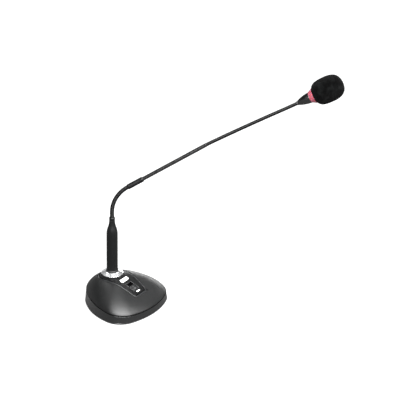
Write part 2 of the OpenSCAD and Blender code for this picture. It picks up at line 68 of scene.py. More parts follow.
class Nodes:
    """Short calls for building the node tree of a material or a world."""

    def __init__(self, owner):
        owner.use_nodes = True
        self.owner = owner
        self.tree = owner.node_tree
        self.place = self.add("TexCoord").outputs["Object"]

    def put(self, value, socket):
        """Links a node's output to the socket, or sets the socket to a plain value."""
        if isinstance(value, bpy.types.NodeSocket):
            self.tree.links.new(value, socket)
        elif socket.type == "RGBA":
            socket.default_value = (*value, 1)
        else:
            socket.default_value = value

    def add(self, kind, inputs=(), **settings):
        node = self.tree.nodes.new("ShaderNode" + kind)
        for key, value in settings.items():
            setattr(node, key, value)
        for key, value in dict(inputs).items():
            self.put(value, node.inputs[key])
        return node

    def math(self, operation, *values):
        return self.add("Math", enumerate(values), operation=operation).outputs[0]

    def noise(self, size_mm, detail=3.0, rough=0.55, distortion=0.0):
        return self.add("TexNoise", {"Vector": self.place, "Scale": 1 / (size_mm * MM), "Detail": detail,
                                     "Roughness": rough, "Distortion": distortion}).outputs["Fac"]

    def stretched(self, scale):
        return self.add("Mapping", {"Vector": self.place, "Scale": scale}).outputs["Vector"]

    def spread(self, value, low, high, to_low, to_high):
        return self.add("MapRange", {"Value": value, "From Min": low, "From Max": high,
                                     "To Min": to_low, "To Max": to_high}).outputs["Result"]

    def mix(self, factor, a, b):
        return self.add("Mix", {"Factor": factor, 6: a, 7: b}, data_type="RGBA").outputs[2]

    def edges(self):
        """1 on sharp outer edges, 0 elsewhere."""
        return self.spread(self.add("NewGeometry").outputs["Pointiness"], 0.53, 0.62, 0, 1)

    def bump(self, height, strength, distance_mm, under=None):
        inputs = {"Height": height, "Strength": strength, "Distance": distance_mm * MM}
        if under is not None:
            inputs["Normal"] = under
        return self.add("Bump", inputs).outputs["Normal"]

    def finish(self, **sockets):
        """Sets or links the shader's sockets, by the short names in SOCKETS."""
        shader = self.tree.nodes["Principled BSDF"]
        for key, value in sockets.items():
            self.put(value, shader.inputs[SOCKETS[key]])
        return self.owner


def material_nodes(name):
    return Nodes(bpy.data.materials.new(name))


def shades(color, tint):
    """A darker and a lighter shade of a colour."""
    return (tuple(c * k for c in color) for k in (1 - tint, 1 + tint))


def plastic(name, color, roughness, grain=0.35, depth=0.06, worn=0.5, tint=0.18, **more):
    """Moulded plastic: fine spark texture, slow colour and gloss changes, and paler worn edges."""
    n = material_nodes(name)
    base = n.mix(n.noise(22, 4), *shades(color, tint))
    edge = n.math("MULTIPLY", n.edges(), n.spread(n.noise(3.5, 4), 0.35, 0.65, 0, worn))
    paler = tuple(min(1.0, c * 1.9 + 0.012) for c in color)
    gloss = n.math("ADD", n.spread(n.noise(6, 5), 0.3, 0.7, -0.03, 0.03), roughness)
    spark = n.bump(n.noise(grain, 2), 0.5, depth)
    return n.finish(color=n.mix(edge, base, paler), roughness=gloss, normal=spark, **more)


def metal(name, color, roughness, metallic=1.0, grain=(1, 1, 14), depth=0.02, tint=0.12, worn=0.6,
          **more):
    """Metal, lacquered when metallic is 0: fine turned lines, slow colour changes, brighter edges."""
    n = material_nodes(name)
    lines = n.add("TexNoise", {"Vector": n.stretched(grain), "Scale": METAL_LINES, "Detail": 3.0})
    base = n.mix(n.noise(9, 4), *shades(color, tint))
    edge = n.math("MULTIPLY", n.edges(), n.spread(n.noise(2.5, 4), 0.4, 0.6, 0, worn))
    bright = tuple(min(1.0, c * 1.8 + 0.05) for c in color)
    smear = n.math("ADD", n.spread(n.noise(7, 6), 0.3, 0.7, -0.05, 0.06), roughness)
    return n.finish(color=n.mix(edge, base, bright), roughness=smear, metallic=metallic,
                    normal=n.bump(lines.outputs["Fac"], 0.35, depth), **more)


def foam_material():
    n = material_nodes("Foam")
    cells = n.add("TexVoronoi", {"Vector": n.place, "Scale": FOAM_CELLS}, feature="F1")
    coarse = n.noise(11, 1.5, distortion=0.5)
    pore = n.spread(cells.outputs["Distance"], 0.05, 0.5, 0, 1)
    base = n.mix(pore, (0.0015, 0.0017, 0.0018), (0.0002, 0.0002, 0.0002))
    base = n.mix(n.spread(coarse, 0.42, 0.66, 0, 0.6), base, (0.0034, 0.0037, 0.0037))
    rough = n.spread(n.noise(2, 3), 0.3, 0.7, 0.86, 1.0)
    under = n.bump(n.noise(1.1, 4), 0.6, 0.35)
    normal = n.bump(cells.outputs["Distance"], 0.9, 0.3, under)
    return n.finish(color=base, roughness=rough, normal=normal,
                    specular=0.02, sheen=0.01, sheen_roughness=0.6)


def ring_material():
    n = material_nodes("Red_ring")
    swirl = n.noise(3.5, 4, distortion=0.6)
    base = n.mix(swirl, (0.26, 0.04, 0.065), (0.33, 0.08, 0.115))
    rough = n.spread(n.noise(2.5, 4), 0.3, 0.7, 0.16, 0.3)
    normal = n.bump(n.noise(1.2, 3), 0.25, 0.05)
    return n.finish(color=base, roughness=rough, normal=normal, transmission=0.35, ior=1.46,
                    subsurface=0.35, subsurface_scale=0.004, emission=(0.8, 0.14, 0.2), glow=0.02,
                    coat=0.4, coat_roughness=0.12)


def lens_material():
    n = material_nodes("Clear_lens")
    base = n.mix(n.noise(1.8, 3), (0.86, 0.87, 0.86), (0.97, 0.97, 0.95))
    rough = n.spread(n.noise(1.0, 3), 0.3, 0.7, 0.08, 0.2)
    return n.finish(color=base, roughness=rough, normal=n.bump(n.noise(0.5, 2), 0.15, 0.03),
                    transmission=0.1, ior=1.49, coat=0.5, coat_roughness=0.05)


def board_material():
    n = material_nodes("Circuit_board")
    tracks = n.add("TexVoronoi", {"Vector": n.place, "Scale": BOARD_TRACKS}, feature="DISTANCE_TO_EDGE")
    line = n.spread(tracks.outputs["Distance"], 0.03, 0.07, 1, 0)
    base = n.mix(line, (0.012, 0.085, 0.03), (0.03, 0.19, 0.07))
    rough = n.spread(n.noise(2, 3), 0.3, 0.7, 0.3, 0.45)
    return n.finish(color=base, roughness=rough, normal=n.bump(line, 0.3, 0.05), coat=0.3)


def floor_material():
    """Dim floor that glows for the camera alone, so that it looks pale without lighting the object."""
    n = material_nodes("Floor")
    seen = n.add("LightPath").outputs["Is Camera Ray"]
    base = n.mix(n.noise(300, 3), (0.085, 0.085, 0.085), (0.093, 0.093, 0.093))
    return n.finish(color=base, roughness=n.spread(n.noise(60, 4), 0.3, 0.7, 0.75, 0.9),
                    normal=n.bump(n.noise(4, 3), 0.05, 0.2), specular=0.15, emission=(1.0, 1.0, 1.0),
                    glow=n.spread(seen, 0, 1, 0.0, FLOOR_GLOW))


MATERIALS = {
    "cover": plastic("Cover", (0.0012, 0.0014, 0.0015), 0.45, grain=0.32, depth=0.03, specular=0.4),
    "panel": plastic("Panel", (0.0012, 0.0013, 0.0014), 0.40, grain=0.5, depth=0.03, specular=0.2),
    "plate": plastic("Nameplate", (0.80, 0.80, 0.79), 0.35, grain=0.8, depth=0.03, tint=0.05, worn=0.2),
    "slider": plastic("Slider", (0.009, 0.0092, 0.0094), 0.34, grain=0.4, depth=0.03, specular=0.3),
    "black_plastic": plastic("Black_plastic", (0.005, 0.005, 0.0055), 0.45, grain=0.5, depth=0.05),
    "rubber": plastic("Rubber", (0.018, 0.018, 0.018), 0.85, grain=0.7, depth=0.1, worn=0.3),
    "iron": metal("Cast_iron", (0.07, 0.07, 0.072), 0.62, 0.3, grain=(1, 1, 1), depth=0.2),
    "steel_plate": metal("Steel_plate", (0.035, 0.035, 0.036), 0.5, 0.4, grain=(1, 1, 1), depth=0.08),
    "screws": metal("Screws", (0.42, 0.42, 0.43), 0.32),
    "switch": metal("Switch", (0.55, 0.55, 0.56), 0.3),
    "contacts": metal("Contacts", (0.83, 0.60, 0.26), 0.22),
    "chrome": metal("Chrome", (0.86, 0.87, 0.88), 0.08, 0.91, depth=0.004, tint=0.03),
    "barrel_metal": metal("Barrel", (0.0028, 0.0030, 0.0031), 0.38, 0.0, depth=0.01, specular=0.22),
    "neck_metal": metal("Neck", (0.0008, 0.0009, 0.0009), 0.27, 0.0, grain=(1, 1, 1), depth=0.01,
                        worn=0.08, specular=0.18),
    "cone_metal": metal("Cone", (0.0015, 0.0016, 0.0017), 0.2, 0.0, depth=0.002, worn=0.1, specular=0.7),
    "capsule_steel": metal("Capsule", (0.55, 0.55, 0.56), 0.3),
    "board": board_material(),
    "red_ring": ring_material(),
    "lens": lens_material(),
    "foam": foam_material(),
    "grip": plastic("Grip_dots", (0.075, 0.077, 0.078), 0.45, grain=0.3, depth=0.02),
    "housing": plastic("Housing", (0.0014, 0.0016, 0.0017), 0.22, grain=0.32, depth=0.012, specular=0.85),
    # Near-black and almost without reflection: painted shade for the switch's recess and the slider's
    # sides
    "painted_shade": plastic("Painted_shade", (0.0004, 0.0004, 0.0005), 0.6, grain=0.5, depth=0.05, worn=0.05,
                    specular=0.02),
    # Paler than the panel: a painted highlight along the switch's lip
    "lip": plastic("Lip_painted_highlight", (0.035, 0.036, 0.037), 0.30, grain=0.4, depth=0.02, specular=0.5),
    # Paler than the cover: a painted highlight along the bead round the panel
    "bead": plastic("Bead_painted_highlight", (0.016, 0.0165, 0.017), 0.34, grain=0.4, depth=0.02, specular=0.5),
    "sleeve": plastic("Sleeve", (0.0015, 0.0016, 0.0017), 0.36, grain=0.25, depth=0.02, worn=0.2,
                      specular=0.2),
    "tube": metal("Tube", (0.0035, 0.0036, 0.0037), 0.28, 0.0, depth=0.004, worn=0.1, specular=0.45),
}

# --------------------------------------------------------------- mesh helpers


def fillet(corners, steps=4, closed=True):
    """Points of a profile whose corners are (x, y) or (x, y, radius); each is rounded by its radius."""
    out = []
    count = len(corners)
    for i, corner in enumerate(corners):
        p = np.array(corner[:2], float)
        radius = corner[2] if len(corner) > 2 else 0
        if radius == 0 or (not closed and i in (0, count - 1)):
            out.append(p)
            continue
        before = np.array(corners[i - 1][:2], float) - p
        after = np.array(corners[(i + 1) % count][:2], float) - p
        room = 0.49 * min(np.linalg.norm(before), np.linalg.norm(after))
        before, after = before / np.linalg.norm(before), after / np.linalg.norm(after)
        half = math.acos(np.clip(before @ after, -1, 1)) / 2
        if half > PI / 2 - 0.01:
            out.append(p)
            continue
        setback = min(radius / math.tan(half), room)
        radius = setback * math.tan(half)
        centre = p + (before + after) / np.linalg.norm(before + after) * radius / math.sin(half)
        start, end = p + before * setback - centre, p + after * setback - centre
        a0, a1 = math.atan2(start[1], start[0]), math.atan2(end[1], end[0])
        sweep = (a1 - a0 + PI) % (2 * PI) - PI
        angles = [a0 + sweep * k / steps for k in range(steps + 1)]
        out += [centre + radius * np.array([math.cos(a), math.sin(a)]) for a in angles]
    return out


def arc(centre, radius, start, end, count):
    """Points of an arc, in degrees, both ends included."""
    x, y = centre
    return [(x + radius * math.cos(math.radians(a)), y + radius * math.sin(math.radians(a)))
            for a in np.linspace(start, end, count)]


def finish_mesh(name, points, faces, smooth=35.0):
    """Object from points in millimetres; edges sharper than smooth degrees stay crisp."""
    mesh = bpy.data.meshes.new(name)
    mesh.from_pydata((np.asarray(points, float) * MM).tolist(), [], faces)
    bm = bmesh.new()
    bm.from_mesh(mesh)
    bmesh.ops.recalc_face_normals(bm, faces=bm.faces)
    bm.to_mesh(mesh)
    bm.free()
    mesh.shade_smooth()
    mesh.set_sharp_from_angle(angle=math.radians(smooth))
    obj = bpy.data.objects.new(name, mesh)
    bpy.context.scene.collection.objects.link(obj)
    return obj


def loft(rings, closed=False):
    """Points and faces between rings of equal length; open lofts are capped at both ends."""
    rings = np.asarray(rings, float)
    count, around = rings.shape[:2]
    faces = []
    for j in range(count if closed else count - 1):
        a, b = j * around, (j + 1) % count * around
        faces += [(a + i, a + (i + 1) % around, b + (i + 1) % around, b + i) for i in range(around)]
    points = rings.reshape(-1, 3)
    if not closed:
        ends = np.array([rings[0].mean(0), rings[-1].mean(0)])
        points = np.vstack([points, ends])
        for base, tip in ((0, len(points) - 2), ((count - 1) * around, len(points) - 1)):
            faces += [(base + i, base + (i + 1) % around, tip) for i in range(around)]
    return points, faces


def round_ring(radius, z, turn):
    """Ring of points round the z axis, one for each angle in turn."""
    return np.column_stack([radius * np.cos(turn), radius * np.sin(turn), np.full(len(turn), z)])


def lathe(profile, around):
    """Rings of a profile of (radius, height) turned about z."""
    turn = np.linspace(0, 2 * PI, around, endpoint=False)
    return [round_ring(radius, z, turn) for radius, z in profile]


def moved(points, place):
    """Points taken to place, a (rotation, shift) pair."""
    rotation, shift = place
    return np.asarray(points, float) @ rotation.T + shift


def shifted(place, x=0.0, y=0.0, z=0.0):
    """A place moved along its own axes."""
    rotation, origin = place
    return rotation, origin + rotation @ np.array([x, y, z])


def lofted(name, rings, closed=False, smooth=35.0, at=None):
    """Object lofted through rings, moved to a place if one is given."""
    points, faces = loft(rings, closed)
    if at is not None:
        points = moved(points, at)
    return finish_mesh(name, points, faces, smooth)


def add_piece(obj, body, slot, nodes=(), material=None):
    """Puts obj on a body in place of the CAD nodes; without a material it wears its slot's."""
    obj.data.materials.clear()
    obj.data.materials.append(MATERIALS[material or slot])
    if body:
        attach(obj, body)
    if nodes:
        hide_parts(*nodes)
    return obj


def turned(name, body, slot, nodes, profile, around, closed=True, smooth=35.0, at=None, material=None):
    """A lathed piece; a closed profile makes a ring, an open one is capped."""
    obj = lofted(name, lathe(profile, around), closed, smooth, at)
    return add_piece(obj, body, slot, nodes, material)


def cut(obj, *cutters):
    """Cuts the cutters' shapes out of obj, then deletes the cutters."""
    for cutter in cutters:
        modifier = obj.modifiers.new("cut", "BOOLEAN")
        modifier.operation = "DIFFERENCE"
        modifier.solver = "EXACT"
        modifier.object = cutter
        with bpy.context.temp_override(object=obj, active_object=obj):
            bpy.ops.object.modifier_apply(modifier=modifier.name)
        bpy.data.objects.remove(cutter)
    obj.data.shade_smooth()
    obj.data.set_sharp_from_angle(angle=math.radians(32))
    return obj


# ------------------------------------------------------- base: outline, dome
# Plan points are (ahead, side): ahead is -Y, side is +X.

BASE_FRONT, CORNER_R, CORNER_AHEAD, CORNER_SIDE = 83.5, 32.5, 44.0, 38.0
REAR_R, REAR_AHEAD, SIDE_R = 47.5, 4.5, 115.0
RIM_H, RIM_FALL, CROWN_H, CROWN_AHEAD = 22.5, 0.095, 51.0, 8.0
FRONT_POWER, REAR_POWER, CROWN_POWER = 1.0, 3.1, 1.3
SKIRT_FLARE, SKIRT_IN, WALL, PLATE_TOP, SEAM, SEAM_GAP = 1.8, 0.1, 2.4, 2.6, 1.6, 0.6
PANEL_R, PANEL_HALF, PANEL_END, PANEL_LIFT, PANEL_DEPTH = 22.0, 15.4, 58.0, 0.6, 1.8
PANEL_BEND, PANEL_BEND_R, PANEL_END_R = 15.0, 5.0, 3.0
SOCKET_BORE_R, OUTPUT_BORE_R, OUTPUT_H = 17.8, 9.7, 14.0
OUTLINE_STEP = 0.4
PHI = np.linspace(0, 2 * PI, 540, endpoint=False)


def base_outline(off):
    """The base's plan, grown by off: arcs for the front, the front corners, the sides and the rear."""
    gap = BASE_FRONT - CORNER_AHEAD
    front_r = (gap ** 2 + CORNER_SIDE ** 2 - CORNER_R ** 2) / (2 * (gap - CORNER_R))
    front = BASE_FRONT - front_r
    to_corner, to_rear = SIDE_R - CORNER_R, SIDE_R - REAR_R
    link = math.hypot(CORNER_AHEAD - REAR_AHEAD, CORNER_SIDE)
    way = ((CORNER_AHEAD - REAR_AHEAD) / link, CORNER_SIDE / link)
    along = (to_rear ** 2 - to_corner ** 2 + link ** 2) / (2 * link)
    across = math.sqrt(to_rear ** 2 - along ** 2)
    side = (REAR_AHEAD + way[0] * along + way[1] * across, way[1] * along - way[0] * across)
    a = [0,
         math.degrees(math.atan2(CORNER_SIDE, CORNER_AHEAD - front)),
         math.degrees(math.atan2(CORNER_SIDE - side[1], CORNER_AHEAD - side[0])),
         math.degrees(math.atan2(-side[1], REAR_AHEAD - side[0])),
         180]
    arcs = [((front, 0), front_r), ((CORNER_AHEAD, CORNER_SIDE), CORNER_R), (side, SIDE_R),
            ((REAR_AHEAD, 0), REAR_R)]
    half = [p for k, (centre, r) in enumerate(arcs) for p in arc(centre, r + off, a[k], a[k + 1], 90)]
    return half + [(x, -y) for x, y in half[-2:0:-1]]


def panel_outline(off):
    """The panel's outline grown by off: the hull of five circles."""
    circles = [(0, 0, PANEL_R)]
    for ahead, half, r in ((PANEL_BEND, PANEL_R, PANEL_BEND_R),
                           (PANEL_END - PANEL_END_R, PANEL_HALF, PANEL_END_R)):
        circles += [(ahead, s * (half - r), r) for s in (1, -1)]
    way = np.linspace(0, 2 * PI, 1440, endpoint=False)
    unit = np.column_stack([np.cos(way), np.sin(way)])
    reach = np.array([unit @ np.array(c[:2]) + c[2] + off for c in circles])
    owner = reach.argmax(0)
    centres = np.array([c[:2] for c in circles])[owner]
    radii = np.array([c[2] for c in circles])[owner]
    return centres + unit * (radii + off)[:, None]


def polar_reach(outline, angles):
    """Distance from the crown to the outline along each angle."""
    p = np.asarray(outline, float) - [CROWN_AHEAD, 0]
    after = np.roll(p, -1, axis=0)
    counts = np.ceil(np.linalg.norm(after - p, axis=1) / OUTLINE_STEP).astype(int).clip(1)
    p = np.vstack([a + (b - a) * np.arange(n)[:, None] / n for a, b, n in zip(p, after, counts)])
    a = np.arctan2(p[:, 1], p[:, 0]) % (2 * PI)
    r = np.hypot(p[:, 0], p[:, 1])
    order = np.argsort(a)
    return np.interp(np.asarray(angles) % (2 * PI), a[order], r[order], period=2 * PI)


def rim_z(ahead):
    return RIM_H - RIM_FALL * ahead


def dome_z(ahead, side):
    """Height of the dome over plan points inside the outline."""
    ahead, side = np.asarray(ahead, float), np.asarray(side, float)
    angle = np.arctan2(side, ahead - CROWN_AHEAD)
    distance = np.hypot(ahead - CROWN_AHEAD, side)
    part = np.clip(distance / polar_reach(base_outline(0), angle.ravel()).reshape(angle.shape), 0, 1)
    power = REAR_POWER + (FRONT_POWER - REAR_POWER) * ((1 + np.cos(angle)) / 2) ** 2
    power = np.where(distance < 1e-6, 1, power)
    rim = rim_z(ahead)
    return rim + (CROWN_H - rim) * (1 - part ** power) ** (1 / CROWN_POWER)


def polar_ring(radius, z=None, lift=0.0):
    """Ring of points at that distance from the crown; z is the dome's height plus lift unless given."""
    ahead, side = CROWN_AHEAD + radius * np.cos(PHI), radius * np.sin(PHI)
    height = dome_z(ahead, side) + lift if z is None else z(ahead)
    return np.column_stack([side, -ahead, height])


def base_reach(off):
    return polar_reach(base_outline(off), PHI)


def panel_reach(off):
    return polar_reach(panel_outline(off), PHI)


BASE_REACH = base_reach(0)
LEDGE, GROOVE = -1.6, 3.9  # the ledge's inner edge and the groove's outer edge, off the panel's outline


def make_cover():
    """The dome, from the panel's ledge and groove to the rim over the seam, and the groove's bead,
    painted paler as a highlight.
    """
    section = [(LEDGE, -1.3), (0.0, -1.3), (0.1, -1.9), (3.5, -1.9), (3.6, -1.6), (3.7, -0.2),
               (3.75, -0.08), (GROOVE, 0)]
    rings = [polar_ring(panel_reach(off), lift=lift) for off, lift in section]
    start = panel_reach(GROOVE)
    shares = 1 - (1 - np.linspace(0, 1, 56)[1:-1]) ** 1.6
    rings += [polar_ring(start + (BASE_REACH - start) * s) for s in shares]
    rings += [polar_ring(BASE_REACH * (1 - k)) for k in (0.002, 0.0008, 0.0)]
    foot = [(0.0, -0.22), (-0.1, -0.34), (-0.6, -0.4), (-0.75, -0.5), (-0.8, -SEAM + 0.15),
            (-0.95, -SEAM), (-WALL, -SEAM)]
    for off, drop in foot:
        rings.append(polar_ring(base_reach(off), z=lambda ahead, d=drop: rim_z(ahead) + d))
    inner, last = base_reach(-WALL), panel_reach(LEDGE)
    shares = (0.05, 0.15, 0.3, 0.5, 0.7, 0.85, 1)
    rings += [polar_ring(inner + (last - inner) * s, lift=-WALL) for s in shares]
    add_piece(lofted("cover_shell", rings, closed=True), "base", "cover", ["top_cover"])
    bead = [(0.95, -2.0), (0.95, -0.1), (1.05, 0.2), (1.3, 0.4), (1.6, 0.4), (1.85, 0.2), (1.95, -0.1),
            (1.95, -2.0)]
    rings = [polar_ring(panel_reach(off), lift=lift) for off, lift in bead]
    # The bead's paler colour is a painted highlight along its ridge
    add_piece(lofted("cover_bead", rings, closed=True), "base", "cover", material="bead")


# Panel frame: local x is side, local -y runs down the slope, local z is the panel's normal
POCKET_REAR, POCKET_FRONT, POCKET_W = 32.0, 50.8, 16.6
POCKET_MID = (POCKET_REAR + POCKET_FRONT) / 2
LENS_AHEAD, LENS_W, LENS_L, LENS_GAP, LENS_EDGE, LENS_RISE = 53.2, 9.0, 1.9, 0.35, 0.7, 0.4
PLATE_MID, PLATE_W, PLATE_L, PLATE_GAP, PIN_SIDE, PIN_R = 24.2, 20.0, 6.5, 0.2, 8.6, 0.5


def axis_z(ahead):
    return float(dome_z(np.array([ahead]), np.array([0.0]))[0])


PANEL_TILT = math.atan((axis_z(POCKET_REAR) - axis_z(POCKET_FRONT)) / (POCKET_FRONT - POCKET_REAR))
POCKET_L = (POCKET_FRONT - POCKET_REAR) / math.cos(PANEL_TILT)


def on_panel(ahead=POCKET_MID, tilt=PANEL_TILT):
    """Frame on the panel's surface at a place along its middle line."""
    rotation = np.array(Matrix.Rotation(tilt, 3, "X"))
    return rotation, np.array([0, -ahead, axis_z(ahead) + PANEL_LIFT])


PLATE_TILT = math.atan((axis_z(PLATE_MID - 3) - axis_z(PLATE_MID + 3)) / 6)


def rounded_loop(width, length, radius, steps=6):
    """Loop of a rounded rectangle centred on the origin."""
    x, y = width / 2, length / 2
    return np.array(fillet([(x, y, radius), (-x, y, radius), (-x, -y, radius), (x, -y, radius)], steps))


def stack(loops):
    """Rings from (loop, z) pairs."""
    return [np.column_stack([loop, np.full(len(loop), z)]) for loop, z in loops]


def block(name, width, length, radius, z0, z1, at, edge=0.0):
    """Rounded block at a place; edge rounds its upper rim."""
    loops = [(rounded_loop(width, length, radius), z0)]
    for k in range(4 if edge else 1):
        a = PI / 2 * k / 3 if edge else 0
        inset = edge * (1 - math.cos(a))
        loops.append((rounded_loop(width - 2 * inset, length - 2 * inset, max(radius - inset, 0.05)),
                      z1 - edge + edge * math.sin(a)))
    return lofted(name, stack(loops), at=at)


def make_panel():
    """The raised panel, cut out for the socket, the switch, the lamp and the plate."""
    section = ((-0.35, -PANEL_DEPTH), (-0.3, -1.7), (-0.3, -0.55), (-0.37, -0.25), (-0.55, -0.07),
               (-0.8, 0))
    rings = [polar_ring(panel_reach(off), lift=PANEL_LIFT + drop) for off, drop in section]
    low, edge = panel_reach(section[0][0]), panel_reach(section[-1][0])
    rings += [polar_ring(edge * s, lift=PANEL_LIFT) for s in np.linspace(1, 0.04, 44)[1:]]
    under = [polar_ring(low * s, lift=PANEL_LIFT - PANEL_DEPTH) for s in np.linspace(0.04, 0.96, 12)]
    panel = lofted("panel_skin", under + rings)
    lens_w, lens_l = LENS_W + 2 * LENS_GAP, LENS_L + 2 * LENS_GAP
    plate_w, plate_l = PLATE_W + 2 * PLATE_GAP, PLATE_L + 2 * PLATE_GAP
    cutters = [lofted("cut_socket", lathe([(SOCKET_BORE_R, 30), (SOCKET_BORE_R, 70)], 128)),
               block("cut_pocket", POCKET_W, POCKET_L, 1.3, -4, 4, on_panel()),
               block("cut_lamp", lens_w, lens_l, LENS_L / 2 + 0.3, -4, 4, on_panel(LENS_AHEAD)),
               block("cut_plate", plate_w, plate_l, 0.5, -0.5, 4, on_panel(PLATE_MID, PLATE_TILT))]
    return add_piece(cut(panel, *cutters), "base", "panel", ["control_panel"])


FRAME_W, FRAME_L, FRAME_FLOOR = POCKET_W - 0.2, POCKET_L - 0.2, -2.1
SLOT_W, SLOT_ROOM, TRAVEL = 2.6, 0.6, 5.5
SLIDER_HALF_W, SLIDER_LEN, SCOOP_R, SCOOP_Z = 6.1, 11.0, 16.0, 15.6
STEM_W, STEM_L, STEM_Y, STEM_FOOT = 2.2, 3.2, 1.6, -6.6
DOT_X, DOTS = 0.4, ((-2.6, 1.15), (2.2, 0.7))  # each dot's place along the slider and radius
FRAME_WALL, SLIDER_GAP = 1.2, 0.15
SLIDER_REST = -(POCKET_L - 2 * FRAME_WALL - SLIDER_LEN) / 2 + SLIDER_GAP


def inset_rings(section):
    """Rings inside the switch frame's outline from (inset, height, corner radius)."""
    return stack([(rounded_loop(FRAME_W - 2 * inset, FRAME_L - 2 * inset, radius), z)
                  for inset, z, radius in section])


def make_switch_frame():
    """The sunk frame with the slider's slot in its floor, painted near-black as shade, and the fine lip
    round it, painted paler as a highlight.
    """
    section = [(0, FRAME_FLOOR - 1, 1.2), (0, -0.45, 1.2), (0.1, -0.35, 1.15), (1.05, -0.35, 0.8),
               (1.1, -0.45, 0.75), (1.1, FRAME_FLOOR + 0.3, 0.75), (1.3, FRAME_FLOOR, 0.6)]
    bezel = lofted("switch_bezel", inset_rings(section), at=on_panel())
    slot_at = shifted(on_panel(), y=SLIDER_REST + STEM_Y + TRAVEL / 2)
    slot_l = TRAVEL + STEM_L + SLOT_ROOM
    cut(bezel, block("cut_slot", SLOT_W, slot_l, 0.3, FRAME_FLOOR - 2, FRAME_FLOOR + 1, slot_at))
    # The frame is painted near-black: painted shade in the recess
    add_piece(bezel, "base", "panel", ["switch_frame"], material="painted_shade")
    section = [(0.4, -0.5, 1.1), (0.4, -0.1, 1.1), (0.5, 0.1, 1.05), (0.65, 0.2, 1.0), (0.8, 0.2, 0.9),
               (0.95, 0.1, 0.85), (1.05, -0.1, 0.8), (1.05, -0.5, 0.8)]
    # The lip's paler colour is a painted highlight
    lip = lofted("switch_lip", inset_rings(section), closed=True, at=on_panel())
    add_piece(lip, "base", "panel", material="lip")


def rounding(distance, radius):
    """How far a rounded corner has fallen back at a distance from its end."""
    gap = radius - min(distance, radius)
    return radius - math.sqrt(radius ** 2 - gap ** 2)


def scooped(name, inset, sink, thickness=None):
    """Block with a scooped top, lowered by sink; without a thickness it reaches the frame's floor."""
    length, width = SLIDER_LEN / 2 - inset, SLIDER_HALF_W - inset
    along = np.concatenate([[-length, -length + 0.12, -length + 0.4],
                            np.linspace(-length + 0.8, length - 0.8, 21),
                            [length - 0.4, length - 0.12, length]])
    rings = []
    for y in along:
        top = min(0.25, SCOOP_Z - math.sqrt(SCOOP_R ** 2 - y ** 2)) - sink
        end = length - abs(y)
        w = width - rounding(end, 1.0)
        high = top - rounding(end, 0.5)
        low = top - thickness if thickness else FRAME_FLOOR + SLIDER_GAP
        section = fillet([(-w, low), (w, low), (w, high, 0.35), (-w, high, 0.35)], 4)
        rings.append([(x, y + SLIDER_REST, z) for x, z in section])
    return lofted(name, rings, at=on_panel())


def make_slider():
    """The slider: a block painted near-black as shade on its sides, a paler dished pad, a stem through
    the slot, and two grip dots.
    """
    # The body is painted near-black: painted shade on the slider's sides round the pad
    add_piece(scooped("slider_body", 0, 0.3), "slider", "slider", ["switch_slider"], material="painted_shade")
    add_piece(scooped("slider_pad", 0.3, 0, 1.2), "slider", "slider")
    stem_at = shifted(on_panel(), y=SLIDER_REST + STEM_Y)
    stem = block("slider_stem", STEM_W, STEM_L, 0.3, STEM_FOOT, FRAME_FLOOR + 0.3, stem_at)
    add_piece(stem, "slider", "slider")
    for i, (y, r) in enumerate(DOTS):
        dome = [(r, -1.2), (r, -0.35), (r * 0.94, -0.19), (r * 0.75, -0.08), (r * 0.4, -0.02), (0.02, 0)]
        turned(f"slider_dot_{i + 1}", "slider", "slider", (), dome, 32, closed=False, smooth=60,
               at=shifted(on_panel(), x=DOT_X, y=SLIDER_REST + y), material="grip")


def make_lamp():
    """The lamp's long lens, rounded on top, and the light pipe under it."""
    radius = LENS_L / 2 - 0.05
    loops = [(rounded_loop(LENS_W, LENS_L, radius), -3)]
    for k in range(6):
        a = PI / 2 * k / 5.6
        inset = LENS_EDGE * (1 - math.cos(a))
        loops.append((rounded_loop(LENS_W - 2 * inset, LENS_L - 2 * inset, max(radius - inset, 0.04)),
                      0.1 + LENS_RISE * math.sin(a)))
    at = on_panel(LENS_AHEAD)
    lens = lofted("lamp_lens", stack(loops), smooth=50, at=at)
    add_piece(lens, "base", "lens", ["indicator_lens"])
    turned("lamp_pipe", "base", "lens", (), [(0.9, -9.8), (0.9, -3)], 32, closed=False, at=at)


def make_nameplate():
    """The blank plate with its two pin holes."""
    plate_at = on_panel(PLATE_MID, PLATE_TILT)
    plate = block("blank_plate", PLATE_W, PLATE_L, 0.5, -0.5, 0.4, plate_at, edge=0.18)
    hole = lathe([(PIN_R, -2), (PIN_R, 2)], 32)
    holes = [lofted("cut_hole", hole, at=shifted(plate_at, x=x)) for x in (-PIN_SIDE, PIN_SIDE)]
    add_piece(cut(plate, *holes), "base", "plate", ["nameplate"])


def skirt_face(share):
    """Off and height on the skirt's outer face, share 0 at its foot and 1 at the seam."""
    off = SKIRT_IN + (SKIRT_FLARE - SKIRT_IN) * (1 - share) ** 1.15
    return off, lambda ahead: PLATE_TOP + (rim_z(ahead) - SEAM - SEAM_GAP - PLATE_TOP) * share


